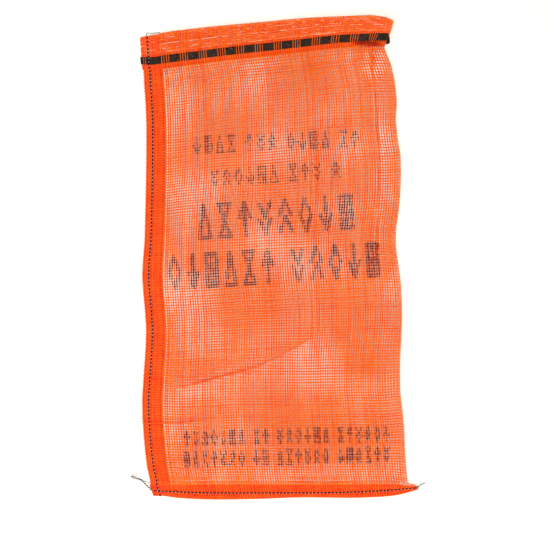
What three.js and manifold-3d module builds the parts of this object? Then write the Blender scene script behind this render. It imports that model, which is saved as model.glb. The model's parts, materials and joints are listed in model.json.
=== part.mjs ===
// Mesh produce bag, lying flat: one cloth of open mesh folded along its right side, stitched along
// its left side and along its turned-up bottom, open at the mouth, with a flat draw tape woven
// through the mouth band. Millimetres, +Z up. X runs across the bag from the stitched side to the
// fold, Y runs from the bottom hem to the mouth, and the bag rests on Z = 0.
import * as THREE from 'three';
import { mergeVertices } from 'three/addons/utils/BufferGeometryUtils.js';
import Module from 'manifold-3d';

const wasm = await Module();
wasm.setup();

// Driving dimensions.
const halfSpan = 225.2;          // outline half width, from the tape's sewn end to the hem's thread tail
const clothThickness = 0.9;
const bandThickness = 0.8;
const airGap = 0.3;              // between neighbouring solids
const sideBandWidth = 30;        // dense selvedge along the stitched side
const seamInset = 10;            // side seam, in from the left edge
const seamLift = 1.0;            // room under the sewn plies for the looper threads
const bellyGap = 9.0;            // between the front and the back layer
const mouthGap = 5.2;            // between the mouth bands' inner loops and the front band
const pliesGap = 0.4;            // between the plies where they are sewn together
const threadDiameter = 0.7;
const tailDiameter = 1.3;
const tapeWidth = 12;
const tapeThickness = 0.7;
const tapeSlope = 0.094;         // rise of the tape across the bag
const tapeHeightAtCentre = 335.2;
const tapeLoopEnd = 168.5;       // how far the tape's loop reaches at the fold
const loopCount = 13;            // groups of warp threads that pass over the tape
const loopPitch = 28.2;
const loopWidth = 13.5;
const firstLoop = -187.2;
const loopWall = 1.5;            // cloth beside the tape, at the foot of each loop
const lowerStrip = 7.0;          // dense strip below the tape
const hemTopLine = -358.5;

// Levels above the resting surface.
const hemBackLevel = seamLift;
const hemFrontLevel = seamLift + clothThickness + pliesGap;
const mouthBackLevel = seamLift;
const backTapeLevel = mouthBackLevel + bandThickness + airGap;
const backLoopLevel = backTapeLevel + tapeThickness + airGap;
const mouthFrontLevel = backLoopLevel + bandThickness + mouthGap;
const frontTapeLevel = mouthFrontLevel + bandThickness + airGap;
const frontLoopLevel = frontTapeLevel + tapeThickness + airGap;
const bellyFrontLevel = clothThickness + bellyGap;

// An edge is a smooth line through a few [position, value] points.
function edge(points) {
  const positions = points.map((point) => point[0]);
  const values = points.map((point) => point[1]);
  const line = new THREE.CubicInterpolant(positions, values, 1, [0]);
  return (position) => line.evaluate(position)[0];
}

const leftEdge = edge([[-376, -198.8], [-367, -204.4], [-351, -210.7], [-335, -214.2], [-288, -219.4],
  [-228, -222.6], [-177, -219.4], [-114, -216.2], [-51, -221], [-27, -222.5], [28, -218.6],
  [60, -217.8], [150, -216], [234, -216.4], [266, -218.7], [313, -221], [349, -224.6]]);
const rightEdge = edge([[-360, 198.7], [-303, 193], [-256, 191.4], [-224, 186.7], [-177, 185.1],
  [-98, 188.3], [-35, 186.7], [20, 178.8], [52, 179.6], [76, 183.5], [130, 187], [178, 185.1],
  [202, 178.8], [250, 180.4], [297, 174], [313, 169.5], [335, 159.8]]);
const mouthEdge = edge([[-226, 349], [-188, 355.5], [-112, 364.6], [-36, 371.3], [27, 377.4],
  [97, 380.8], [144, 382.4], [161, 380.2], [176, 375]]);
const hemEdge = edge([[-206, -371], [-188, -376.8], [-131, -382], [-55, -382], [27, -379.2],
  [134, -379.2], [191, -373.7], [213, -366]]);
const bottomSeam = edge([[-206, -368.6], [-131, -371.8], [-20, -372.1], [90, -371.3], [153, -369.1],
  [182, -366.7], [213, -363.6]]);

const tapeCentre = (x) => tapeHeightAtCentre + tapeSlope * x;
const stripTop = (x) => tapeCentre(x) + tapeWidth / 2 + airGap + loopWall;
const stripBottom = (x) => tapeCentre(x) - tapeWidth / 2 - airGap - loopWall - lowerStrip;
const tapeAngle = Math.atan(tapeSlope);
const sideSeam = (y) => leftEdge(y) + seamInset;

const ease = (value, start, end) => THREE.MathUtils.smoothstep(value, start, end);
const mix = THREE.MathUtils.lerp;

// Underside of the front layer: down on the back layer along the seams, raised inside and at the mouth.
function frontLevel(x, y) {
  const seamRise = 60;
  const hemRise = 90;
  const mouthRise = 100;
  const inside = ease(x, sideSeam(y), sideSeam(y) + seamRise) * ease(y, hemTopLine, hemTopLine + hemRise);
  const belly = mix(hemFrontLevel, bellyFrontLevel, inside);
  const nearMouth = ease(y, stripBottom(x) - 10 - mouthRise, stripBottom(x) - 10);
  return mix(belly, mouthFrontLevel, nearMouth);
}

// A point between two side lines and two end lines, all of which may curve.
function between(u, v, left, right, low, high) {
  let x = mix(left(0), right(0), u);
  let y = 0;
  for (let pass = 0; pass < 4; pass += 1) {
    y = mix(low(x), high(x), v);
    x = mix(left(y), right(y), u);
  }
  return [x, y];
}

// A closed shell between an outer and an inner skin, each a function of two fractions.
function shell(across, along, outer, inner) {
  const positions = [];
  const index = [];
  const rowLength = across + 1;
  for (const skin of [outer, inner]) {
    for (let j = 0; j <= along; j += 1) {
      for (let i = 0; i <= across; i += 1) {
        positions.push(...skin(i / across, j / along));
      }
    }
  }
  const innerStart = rowLength * (along + 1);
  const outerAt = (i, j) => j * rowLength + i;
  const innerAt = (i, j) => innerStart + outerAt(i, j);
  const quad = (a, b, c, d) => index.push(a, b, c, a, c, d);
  for (let j = 0; j < along; j += 1) {
    for (let i = 0; i < across; i += 1) {
      quad(outerAt(i, j), outerAt(i + 1, j), outerAt(i + 1, j + 1), outerAt(i, j + 1));
      quad(innerAt(i, j), innerAt(i, j + 1), innerAt(i + 1, j + 1), innerAt(i + 1, j));
    }
    quad(outerAt(0, j + 1), innerAt(0, j + 1), innerAt(0, j), outerAt(0, j));
    quad(outerAt(across, j), innerAt(across, j), innerAt(across, j + 1), outerAt(across, j + 1));
  }
  for (let i = 0; i < across; i += 1) {
    quad(outerAt(i, 0), innerAt(i, 0), innerAt(i + 1, 0), outerAt(i + 1, 0));
    quad(outerAt(i + 1, along), innerAt(i + 1, along), innerAt(i, along), outerAt(i, along));
  }
  const geometry = new THREE.BufferGeometry();
  geometry.setAttribute('position', new THREE.Float32BufferAttribute(positions, 3));
  geometry.setIndex(index);
  return geometry;
}

// A flat or domed layer of cloth of one thickness.
function layer(across, along, place, level) {
  const skin = (lift) => (u, v) => {
    const [x, y] = place(u, v);
    return [x, y, level(x, y) + lift];
  };
  return shell(across, along, skin(clothThickness), skin(0));
}

// A strip of cloth that turns round the fold from the front layer down to the back layer.
function foldStrip(along, low, high, outerEdge, backLevel, thickness, frontTop) {
  const steps = 8;
  const skin = (inset) => (s, v) => {
    const y = mix(low, high, v);
    const radius = (frontTop(y) - backLevel) / 2;
    const angle = Math.PI * (0.5 - s);
    const x = outerEdge(y) - radius + (radius - inset) * Math.cos(angle);
    return [x, y, backLevel + radius + (radius - inset) * Math.sin(angle)];
  };
  return shell(steps, along, skin(0), skin(thickness));
}

// A round thread along a smooth path.
function thread(points, diameter, steps) {
  const sides = 6;
  const section = new THREE.Shape();
  for (let i = 0; i < sides; i += 1) {
    const angle = (2 * Math.PI * i) / sides;
    const x = (diameter / 2) * Math.cos(angle);
    const y = (diameter / 2) * Math.sin(angle);
    if (i === 0) section.moveTo(x, y);
    else section.lineTo(x, y);
  }
  const path = new THREE.CatmullRomCurve3(points.map((point) => new THREE.Vector3(...point)));
  return new THREE.ExtrudeGeometry(section, { steps, extrudePath: path, bevelEnabled: false });
}

function toManifold(geometry) {
  const bare = geometry.clone();
  bare.deleteAttribute('normal');
  bare.deleteAttribute('uv');
  const merged = mergeVertices(bare);
  return new wasm.Manifold(new wasm.Mesh({
    numProp: 3,
    vertProperties: new Float32Array(merged.attributes.position.array),
    triVerts: new Uint32Array(merged.index.array),
  }));
}

function fromManifold(solid) {
  const mesh = solid.getMesh();
  const geometry = new THREE.BufferGeometry();
  geometry.setAttribute('position', new THREE.BufferAttribute(mesh.vertProperties, 3));
  geometry.setIndex(new THREE.BufferAttribute(mesh.triVerts, 1));
  return geometry;
}

// A box whose long side follows the tape, centred on the tape line at x, with its base at z.
function tapeBox(x, sideways, width, depth, z, height) {
  const box = new THREE.BoxGeometry(width, depth, height);
  box.translate(0, sideways, height / 2);
  box.rotateZ(tapeAngle);
  box.translate(x, tapeCentre(x), z);
  return toManifold(box);
}

// Outline of a mouth band: mouth edge, end at the fold, step beside the tape's loop, strip edge.
function mouthBandOutline() {
  const left = leftEdge(mouthEdge(-224));
  const foldStart = tapeLoopEnd - 2;
  const stripEnd = 158;
  const outline = new THREE.Shape();
  outline.moveTo(-221.5, stripBottom(-221.5));
  outline.lineTo(stripEnd, stripBottom(stripEnd));
  outline.lineTo(stripEnd, stripTop(stripEnd));
  outline.lineTo(foldStart, stripTop(foldStart));
  const mouthStations = 14;
  for (let i = 0; i <= mouthStations; i += 1) {
    const x = mix(foldStart, left, i / mouthStations);
    outline.lineTo(x, mouthEdge(x));
  }
  return outline;
}

// A mouth band with the loops that hold the tape; the warp runs over the tape at a loop, under it elsewhere.
function mouthBand(level, loopLevel) {
  const plate = new THREE.ExtrudeGeometry(mouthBandOutline(), { depth: bandThickness, bevelEnabled: false });
  plate.translate(0, 0, level);
  let solid = toManifold(plate);
  const openDepth = tapeWidth + 2 * airGap;
  const wallOffset = openDepth / 2 + loopWall / 2;
  const rise = loopLevel - level;
  for (let i = 0; i < loopCount; i += 1) {
    const x = firstLoop + i * loopPitch;
    solid = solid.subtract(tapeBox(x, 0, loopWidth, openDepth, level - 1, bandThickness + 2));
    solid = solid.add(tapeBox(x, 0, loopWidth, openDepth + 2 * loopWall, loopLevel, bandThickness));
    for (const side of [-1, 1]) {
      solid = solid.add(tapeBox(x, side * wallOffset, loopWidth, loopWall, level, rise + bandThickness / 2));
    }
  }
  return fromManifold(solid);
}

// The draw tape: a front run and a back run joined by a round loop at the fold.
function drawTape() {
  const radius = (frontTapeLevel - backTapeLevel) / 2;
  const middle = (frontTapeLevel + backTapeLevel + tapeThickness) / 2;
  const outer = radius + tapeThickness / 2;
  const inner = radius - tapeThickness / 2;
  const loopCentre = tapeLoopEnd - outer;
  const cornerReach = (tapeWidth / 2) * Math.sin(tapeAngle);
  const length = (loopCentre + halfSpan - cornerReach) / Math.cos(tapeAngle);
  const profile = new THREE.Shape();
  profile.moveTo(-length, -outer);
  profile.lineTo(0, -outer);
  profile.absarc(0, 0, outer, -Math.PI / 2, Math.PI / 2, false);
  profile.lineTo(-length, outer);
  profile.lineTo(-length, inner);
  profile.lineTo(0, inner);
  profile.absarc(0, 0, inner, Math.PI / 2, -Math.PI / 2, true);
  profile.lineTo(-length, -inner);
  profile.closePath();
  const tape = new THREE.ExtrudeGeometry(profile, { depth: tapeWidth, bevelEnabled: false, curveSegments: 10 });
  tape.translate(0, 0, -tapeWidth / 2);
  tape.rotateX(Math.PI / 2);
  tape.rotateZ(tapeAngle);
  tape.translate(loopCentre, tapeCentre(loopCentre), middle);
  return tape;
}

// The turned-up bottom: a front ply and a back ply joined by the fold along the bottom edge.
function bottomHem() {
  const stations = 7;
  const foldRadius = (hemFrontLevel + clothThickness - hemBackLevel) / 2;
  const middle = hemBackLevel + foldRadius;
  const left = -205;
  const right = 213;
  const lean = 6;
  const skin = (inset) => (s, t) => {
    const place = s * stations;
    const radius = foldRadius - inset;
    const x = mix(left, right, t);
    const foldLine = hemEdge(x) + foldRadius;
    if (place <= 1) return [x - lean * (1 - place) * (1 - t), mix(hemTopLine, foldLine, place), middle + radius];
    if (place >= stations - 1) {
      const back = place - (stations - 1);
      return [x - lean * back * (1 - t), mix(foldLine, hemTopLine, back), middle - radius];
    }
    const angle = Math.PI * (0.5 + (place - 1) / (stations - 2));
    return [x, foldLine + radius * Math.cos(angle), middle + radius * Math.sin(angle)];
  };
  // The hem's end at the fold side narrows to the ear, so the plies' top line drops there.
  const earStart = 196;
  const earTop = -362;
  const shaped = (inset) => (s, t) => {
    const [x, y, z] = skin(inset)(s, t);
    const limit = mix(hemTopLine, earTop, ease(x, earStart, right));
    return [x, Math.min(y, limit), z];
  };
  return shell(stations, 22, shaped(0), shaped(clothThickness));
}

// Path of the side seam on the front face or under the back face.
function sideSeamPath(low, high, count, level) {
  const points = [];
  for (let i = 0; i <= count; i += 1) {
    const y = mix(low, high, i / count);
    const x = sideSeam(y);
    points.push([x, y, level(x, y)]);
  }
  return points;
}

// The needle thread lies on the cloth, hops over the tape, and over the bottom seam it crosses.
function needleLevel(x, y) {
  const tapeHop = 1.3;
  const seamHop = 1.1;
  const fromTape = Math.abs(y - tapeCentre(x));
  const fromSeam = Math.abs(y - bottomSeam(x));
  const hop = tapeHop * (1 - ease(fromTape, 12, 28)) + seamHop * (1 - ease(fromSeam, 9, 24));
  return frontLevel(x, y) + clothThickness + airGap + threadDiameter / 2 + hop;
}

function bottomSeamPath(low, high, count, level) {
  const points = [];
  for (let i = 0; i <= count; i += 1) {
    const x = mix(low, high, i / count);
    points.push([x, bottomSeam(x), level]);
  }
  return points;
}

const meshCloth = new THREE.MeshStandardMaterial({ color: 0xf98048, roughness: 0.6, metalness: 0 });
const bandCloth = new THREE.MeshStandardMaterial({ color: 0xf5561f, roughness: 0.6, metalness: 0 });
const blackTape = new THREE.MeshStandardMaterial({ color: 0x1b1714, roughness: 0.4, metalness: 0 });
const blackThread = new THREE.MeshStandardMaterial({ color: 0x241a16, roughness: 0.8, metalness: 0 });
const whiteThread = new THREE.MeshStandardMaterial({ color: 0xe9e2da, roughness: 0.8, metalness: 0 });

const bag = new THREE.Group();
bag.name = 'mesh_produce_bag';

function place(name, geometry, material) {
  const mesh = new THREE.Mesh(geometry, material);
  mesh.name = name;
  bag.add(mesh);
}

// Lines that part the cloth's zones.
const bandInner = (y) => leftEdge(y) + sideBandWidth;
const panelLeft = (y) => bandInner(y) + airGap;
const panelBottom = () => hemTopLine + airGap;
const panelTop = (x) => stripBottom(x) - airGap;
const foldTop = (y) => frontLevel(rightEdge(y), y) + clothThickness;
const foldStart = (y) => rightEdge(y) - foldTop(y) / 2 - airGap;
const onPanel = (u, v) => between(u, v, panelLeft, foldStart, panelBottom, panelTop);
const onSideBand = (u, v) => between(u, v, leftEdge, bandInner, panelBottom, panelTop);

place('front_mesh_panel', layer(14, 24, onPanel, frontLevel), meshCloth);
place('back_mesh_panel', layer(2, 24, onPanel, () => 0), meshCloth);
place('side_fold', foldStrip(24, hemTopLine + airGap, stripBottom(rightEdge(335)) - 1, rightEdge, 0,
  clothThickness, foldTop), meshCloth);
place('side_band_front', layer(3, 24, onSideBand, frontLevel), bandCloth);
place('side_band_back', layer(1, 24, onSideBand, () => seamLift), bandCloth);
place('mouth_band_front', mouthBand(mouthFrontLevel, frontLoopLevel), bandCloth);
place('mouth_band_back', mouthBand(mouthBackLevel, backLoopLevel), bandCloth);

const cornerTop = mouthEdge(170) - 1;
const mouthFoldEdge = (y) => mix(171, 175.6, (y - stripTop(168)) / (cornerTop - stripTop(168)));
place('mouth_band_fold', foldStrip(4, stripTop(168) + airGap, cornerTop, mouthFoldEdge, mouthBackLevel,
  bandThickness, () => mouthFrontLevel + bandThickness), bandCloth);

place('bottom_hem', bottomHem(), bandCloth);
place('draw_tape', drawTape(), blackTape);

const needleOnHem = hemFrontLevel + clothThickness + airGap + threadDiameter / 2;
const looperUnder = threadDiameter / 2 + 0.05;
place('side_needle_thread', thread(sideSeamPath(-374.5, 350, 60, needleLevel), threadDiameter, 90), blackThread);
place('side_looper_thread', thread(sideSeamPath(-367, 350, 40, () => looperUnder), threadDiameter, 44), whiteThread);
place('bottom_needle_thread', thread(bottomSeamPath(-203.5, 209.5, 12, needleOnHem), threadDiameter, 30), blackThread);
place('bottom_looper_thread', thread(bottomSeamPath(-203.5, 209.5, 12, looperUnder), threadDiameter, 30), whiteThread);

// Thread ends that run on past the seams.
const cornerTail = [[-208.2, -368.2, 1.9], [-209.8, -366.5, 1.3], [-211.9, -364.4, 0.9], [-214.5, -361.9, 0.75],
  [-217.8, -358.7, 0.7], [-220.2, -356, 0.7], [-222.7, -353.8, 0.7], [-225.5, -351.9, 0.7],
  [-228.4, -350.3, 0.7], [-231.5, -349, 0.7], [-234.7, -347.8, 0.7], [-237.8, -346.8, 0.7],
  [-240.7, -346, 0.7]];
const hemTail = [[214, -363.2, 2], [216, -361.4, 1.3], [218.5, -359.4, 0.8], [221.6, -357.8, 0.7],
  [halfSpan - 0.1, -356.6, 0.7]];
const mouthTail = [[-214.7, 350.9, 10.5], [-216.2, 352.8, 10.4], [-215.7, 355.4, 10.3], [-213.2, 356.4, 10.2],
  [-210.4, 355.6, 10.1], [-206, 356, 10], [-200.5, 356.9, 9.8], [-194.7, 357.6, 9.6]];
place('corner_thread_tail', thread(cornerTail, tailDiameter, 24), whiteThread);
place('hem_thread_tail', thread(hemTail, threadDiameter, 12), blackThread);
place('mouth_thread_tail', thread(mouthTail, threadDiameter, 20), blackThread);

export default bag;
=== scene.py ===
import json
import math

import bmesh
import bpy
import numpy as np
from mathutils import Matrix, Vector


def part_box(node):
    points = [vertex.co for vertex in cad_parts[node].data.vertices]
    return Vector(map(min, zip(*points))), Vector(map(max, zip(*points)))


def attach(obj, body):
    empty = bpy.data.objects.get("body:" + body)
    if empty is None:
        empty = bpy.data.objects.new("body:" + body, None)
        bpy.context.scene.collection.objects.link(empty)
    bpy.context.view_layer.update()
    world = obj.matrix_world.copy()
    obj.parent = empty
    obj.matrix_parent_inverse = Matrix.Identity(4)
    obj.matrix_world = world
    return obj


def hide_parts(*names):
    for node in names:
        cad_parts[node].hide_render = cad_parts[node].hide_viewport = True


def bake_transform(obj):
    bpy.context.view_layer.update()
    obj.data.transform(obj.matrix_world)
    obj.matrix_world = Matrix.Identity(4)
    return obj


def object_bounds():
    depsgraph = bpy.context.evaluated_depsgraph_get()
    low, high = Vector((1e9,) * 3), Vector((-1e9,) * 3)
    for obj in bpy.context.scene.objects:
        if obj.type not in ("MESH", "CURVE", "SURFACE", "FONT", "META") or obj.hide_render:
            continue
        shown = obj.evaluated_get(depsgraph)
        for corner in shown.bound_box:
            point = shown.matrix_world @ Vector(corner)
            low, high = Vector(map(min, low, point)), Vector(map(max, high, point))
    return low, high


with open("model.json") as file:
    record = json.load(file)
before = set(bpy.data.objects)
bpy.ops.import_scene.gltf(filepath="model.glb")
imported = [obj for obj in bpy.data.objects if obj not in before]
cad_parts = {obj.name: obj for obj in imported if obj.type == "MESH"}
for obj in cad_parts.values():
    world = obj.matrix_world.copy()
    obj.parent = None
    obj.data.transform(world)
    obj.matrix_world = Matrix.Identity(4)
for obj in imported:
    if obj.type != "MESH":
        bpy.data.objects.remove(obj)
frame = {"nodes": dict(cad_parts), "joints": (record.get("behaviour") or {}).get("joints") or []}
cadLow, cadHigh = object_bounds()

print("frame loaded")
scene = bpy.context.scene
scene.view_settings.view_transform = "Standard"

# camera, floor and light
studio = {
    "cameraHeight": 1.9,
    "frameWidth": 0.8722,          # width of table that the picture takes in
    "lookAt": (-0.0124, -0.0269),
    "floorSize": 14.0,
    "floorDrop": 0.0002,
    "topLight": 77.0,
    "topLightSize": 0.9,
    "keyLight": 29.0,
    "world": 0.50,
    "floorColour": (0.71, 0.68, 0.605, 1),
}


def makeCamera():
    data = bpy.data.cameras.new("camera")
    data.sensor_width = 36.0
    data.lens = 36.0 * studio["cameraHeight"] / studio["frameWidth"]
    camera = bpy.data.objects.new("camera", data)
    camera.location = (*studio["lookAt"], studio["cameraHeight"])
    scene.collection.objects.link(camera)
    scene.camera = camera


def areaLight(name, energy, size, place, target=(0.0, 0.0, 0.0)):
    data = bpy.data.lights.new(name, "AREA")
    data.energy = energy
    data.size = size
    light = bpy.data.objects.new(name, data)
    light.location = place
    direction = Vector(target) - light.location
    light.rotation_euler = direction.to_track_quat("-Z", "Y").to_euler()
    scene.collection.objects.link(light)


def makeStage():
    bm = bmesh.new()
    bmesh.ops.create_grid(bm, x_segments=2, y_segments=2, size=studio["floorSize"] / 2)
    mesh = bpy.data.meshes.new("floor")
    bmesh.ops.translate(bm, verts=bm.verts, vec=(0, 0, -studio["floorDrop"]))
    bm.to_mesh(mesh)
    bm.free()
    floor = bpy.data.objects.new("floor", mesh)
    scene.collection.objects.link(floor)
    material = bpy.data.materials.new("pale floor")
    material.use_nodes = True
    shader = material.node_tree.nodes["Principled BSDF"]
    shader.inputs["Base Color"].default_value = studio["floorColour"]
    shader.inputs["Roughness"].default_value = 0.8
    shader.inputs["Specular IOR Level"].default_value = 0.1
    mesh.materials.append(material)
    areaLight("top light", studio["topLight"], studio["topLightSize"], (0.0, 0.0, 2.7))
    areaLight("key light", studio["keyLight"], 1.2, (-1.3, -1.3, 1.5))
    world = bpy.data.worlds.new("world")
    world.use_nodes = True
    background = world.node_tree.nodes["Background"]
    background.inputs["Color"].default_value = (1, 1, 1, 1)
    background.inputs["Strength"].default_value = studio["world"]
    scene.world = world


makeCamera()
makeStage()
print("camera and stage made")

# the cloth's outline, from the frame
mm = 0.001


def nodeEdges(*names):
    # both ends of every edge of some nodes
    found = []
    for name in names:
        mesh = frame["nodes"][name].data
        points = np.empty(len(mesh.vertices) * 3)
        mesh.vertices.foreach_get("co", points)
        ends = np.empty(len(mesh.edges) * 2, np.int32)
        mesh.edges.foreach_get("vertices", ends)
        found.append(points.reshape(-1, 3)[ends.reshape(-1, 2)])
    return np.concatenate(found)


def softened(value, reach):
    # a running average that keeps the slope at both ends
    window = np.hanning(int(2 * reach / mm) + 1)
    half = len(window) // 2
    before = 2 * value[0] - value[half:0:-1]
    after = 2 * value[-1] - value[-2:-half - 2:-1]
    padded = np.concatenate([before, value, after])
    return np.convolve(padded, window / window.sum(), "valid")


def edgeLine(names, along, sign, reach, low=-1.0, high=1.0, onward=(1, 1)):
    # the outermost line of some nodes between two places along one axis, softened,
    # and carried straight on past each end, level where onward is 0
    ends = nodeEdges(*names)[:, :, :2]
    start, end = ends[:, 0, along], ends[:, 1, along]
    low = max(low, ends[:, :, along].min())
    high = min(high, ends[:, :, along].max())
    found = {}
    for place in np.arange(low + 0.2 * mm, high, mm):
        crossing = (np.minimum(start, end) <= place) & (np.maximum(start, end) > place)
        if crossing.any():
            a, b = ends[crossing, 0], ends[crossing, 1]
            t = (place - a[:, along]) / (b[:, along] - a[:, along])
            outermost = a[:, 1 - along] + t * (b[:, 1 - along] - a[:, 1 - along])
            found[place] = sign * (sign * outermost).max()
    places = np.arange(low, high, mm)
    value = softened(np.interp(places, list(found), list(found.values())), reach)
    before = value[0] - onward[0] * (value[8] - value[0]) / 8 * np.arange(40, 0, -1)
    after = value[-1] + onward[1] * (value[-1] - value[-9]) / 8 * np.arange(1, 41)
    beyond = np.arange(1, 41) * mm
    wholePlaces = np.concatenate([places[0] - beyond[::-1], places, places[-1] + beyond])
    return wholePlaces, np.concatenate([before, value, after])


leftLine = edgeLine(["side_band_front", "mouth_band_front", "bottom_hem"], 1, -1, 9 * mm, -0.367, 0.344)
rightLine = edgeLine(["side_fold", "mouth_band_fold"], 1, 1, 8 * mm)
mouthLine = edgeLine(["mouth_band_front"], 0, 1, 8 * mm)
hemLine = edgeLine(["bottom_hem"], 0, -1, 5 * mm, -0.188, 0.204, (0, 1))
calmLeft = leftLine[0], softened(leftLine[1], 45 * mm)
calmRight = rightLine[0], softened(rightLine[1], 45 * mm)
hemLow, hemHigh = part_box("bottom_hem")
tapeLow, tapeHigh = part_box("draw_tape")
tapeMiddle = (tapeLow + tapeHigh) / 2
pullAxis = frame["joints"][0]["axis"]
tapeSlope = pullAxis[1] / pullAxis[0]


def smooth(value, start, end):
    t = np.clip((value - start) / (end - start), 0, 1)
    return t * t * (3 - 2 * t)


# how far the tape strays from its straight line, in mm
tapeStray = [(-225, -1.6), (-206, -4.0), (-171, -2.6), (-130, -1.3), (-93, 0), (-20, 0.8), (40, 2.0),
             (82, 3.0), (120, 1.8), (149, 0), (170, -2.4)]
strayX, strayY = np.array(tapeStray).T * mm


def tapeLine(x):
    return tapeMiddle.y + tapeSlope * (x - tapeMiddle.x) + np.interp(x, strayX, strayY)


# the cloth as a surface
cloth = {
    "width": 405 * mm,            # one layer, from the stitched edge to the fold
    "selvedge": 30 * mm,
    "selvedgeWarps": 20,
    "meshWarps": 97,
    "hemRows": 18,
    "meshRows": 162,
    "stripRows": 4,
    "strip": 7 * mm,
    "tapeGap": 13.6 * mm,         # no weft here: only the tape lies between the warps
    "rest": 1.3 * mm,             # middle of the back layer above the table
    "seamGap": 1.7 * mm,
    "innerGap": 4.6 * mm,
    "ear": 15 * mm,               # how far the hem stands out past the fold
    "earTaper": 3.2 * mm,
    "mouthCorner": 6.0 * mm,      # how far the mouth's free corner is rounded off
    "edgeShare": 0.16,            # the waves of an edge fade out over this share of the width
    "bottomRadius": 1.2 * mm,
}
noise = np.random.default_rng(7)


def waves(count, longest, shortest):
    # a smooth random field made of a few long waves
    length = noise.uniform(shortest, longest, count)
    heading = noise.uniform(0, math.pi, count)
    phase = noise.uniform(0, 2 * math.pi, count)
    size = length / length.sum()

    def field(x, y):
        total = np.zeros_like(x)
        for k in range(count):
            along = x * math.cos(heading[k]) + y * math.sin(heading[k])
            total += size[k] * np.sin(2 * math.pi * along / length[k] + phase[k])
        return total * 2.2

    return field


drift = {key: waves(6, 420 * mm, 130 * mm) for key in ("sharedX", "sharedY")}
slip = {key: waves(9, 190 * mm, 55 * mm) for key in ("frontX", "frontY")}
swell = {"front": waves(8, 220 * mm, 55 * mm), "back": waves(8, 260 * mm, 70 * mm)}
driftSize = 1.5 * mm          # both layers wander together
slipSize = 0.9 * mm           # and the front a little more
slipDown = 0.6 * mm           # the front also hangs a little lower

# creases of the front layer: a line of points, its height, half width, how far it draws in the cloth
# beside it and how much painted shade deepens its colour
creases = [
    {"line": [(-166, -203), (-142, -198), (-108, -189), (-76, -181), (-44, -171), (-22, -163)],
     "height": 1.1, "half": 2.6, "pull": 7.0, "depth": 0.45},
    {"line": [(-40, -170), (-12, -158), (12, -146), (46, -126)],
     "height": 0.7, "half": 2.0, "pull": 3.0, "depth": 0.25},
    {"line": [(139, 340), (141, 324), (142, 306), (144, 284)],
     "height": 1.3, "half": 4.2, "pull": 6.0, "depth": 0.30},
    {"line": [(108, 340), (124, 339.5), (140, 338), (158, 335)],
     "height": 1.8, "half": 3.2, "pull": 3.0, "depth": 1.25},
    {"line": [(147, 262), (152, 180), (150, 90), (148, 0)],
     "height": 0.9, "half": 2.4, "pull": 2.2, "depth": 0.2},
    {"line": [(-222, -262), (-150, -258), (-108, -250)],
     "height": 0.8, "half": 2.6, "pull": 1.6, "depth": 0.35},
]


def creaseAt(x, y):
    # height added, the shift towards each crease and the depth of painted shade in it
    rise = np.zeros_like(x)
    shiftX = np.zeros_like(x)
    shiftY = np.zeros_like(x)
    depth = np.zeros_like(x)
    for crease in creases:
        points = np.array(crease["line"]) * mm
        nearest = np.full(x.shape, 1e9)
        toX = np.zeros_like(x)
        toY = np.zeros_like(x)
        along = np.zeros_like(x)
        for k in range(len(points) - 1):
            start, step = points[k], points[k + 1] - points[k]
            t = np.clip(((x - start[0]) * step[0] + (y - start[1]) * step[1]) / (step @ step), 0, 1)
            dx = start[0] + t * step[0] - x
            dy = start[1] + t * step[1] - y
            far = np.hypot(dx, dy)
            closer = far < nearest
            nearest = np.where(closer, far, nearest)
            toX = np.where(closer, dx, toX)
            toY = np.where(closer, dy, toY)
            along = np.where(closer, (k + t) / (len(points) - 1), along)
        fade = np.sin(np.clip(along, 0.02, 0.98) * math.pi) ** 0.5
        ridge = fade * np.exp(-((nearest / (crease["half"] * mm)) ** 2))
        rise += crease["height"] * mm * ridge
        # painted shade: the colour deepens towards each crease's line, as if the fold were shadowed
        depth = np.maximum(depth, crease["depth"] * ridge)
        strength = crease["pull"] * mm * fade * np.exp(-nearest / (11 * mm)) / np.maximum(nearest, 0.6 * mm)
        strength = np.minimum(strength, 0.74)
        shiftX += toX * strength
        shiftY += toY * strength
    return rise, shiftX, shiftY, depth


def layerGap(x, y):
    inside = smooth(x - np.interp(y, *leftLine), 14 * mm, 80 * mm)
    above = smooth(y, hemHigh.y, hemHigh.y + 60 * mm)
    soft = 1 + 0.35 * swell["front"](x, y)
    return cloth["seamGap"] + (cloth["innerGap"] * soft - cloth["seamGap"]) * inside * above


def backHeight(x, y):
    calm = smooth(x - np.interp(y, *leftLine), 5 * mm, 50 * mm) * smooth(y, hemLow.y, hemHigh.y + 40 * mm)
    mouthLift = 1.2 * mm * smooth(y - tapeLine(x), -60 * mm, 30 * mm)
    return cloth["rest"] + mouthLift + 1.4 * mm * calm * (0.5 + 0.5 * swell["back"](x, y))


def rowLines(x):
    tape = tapeLine(x)
    return np.stack([
        np.interp(x, *hemLine),
        hemHigh.y - cloth["earTaper"] * smooth(x, 180 * mm, 200 * mm),
        tape - cloth["tapeGap"] / 2 - cloth["strip"],
        tape - cloth["tapeGap"] / 2,
        tape + cloth["tapeGap"] / 2,
        np.interp(x, *mouthLine) - cloth["mouthCorner"] * smooth(x, 158 * mm, 180 * mm) ** 1.5,
    ])


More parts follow.
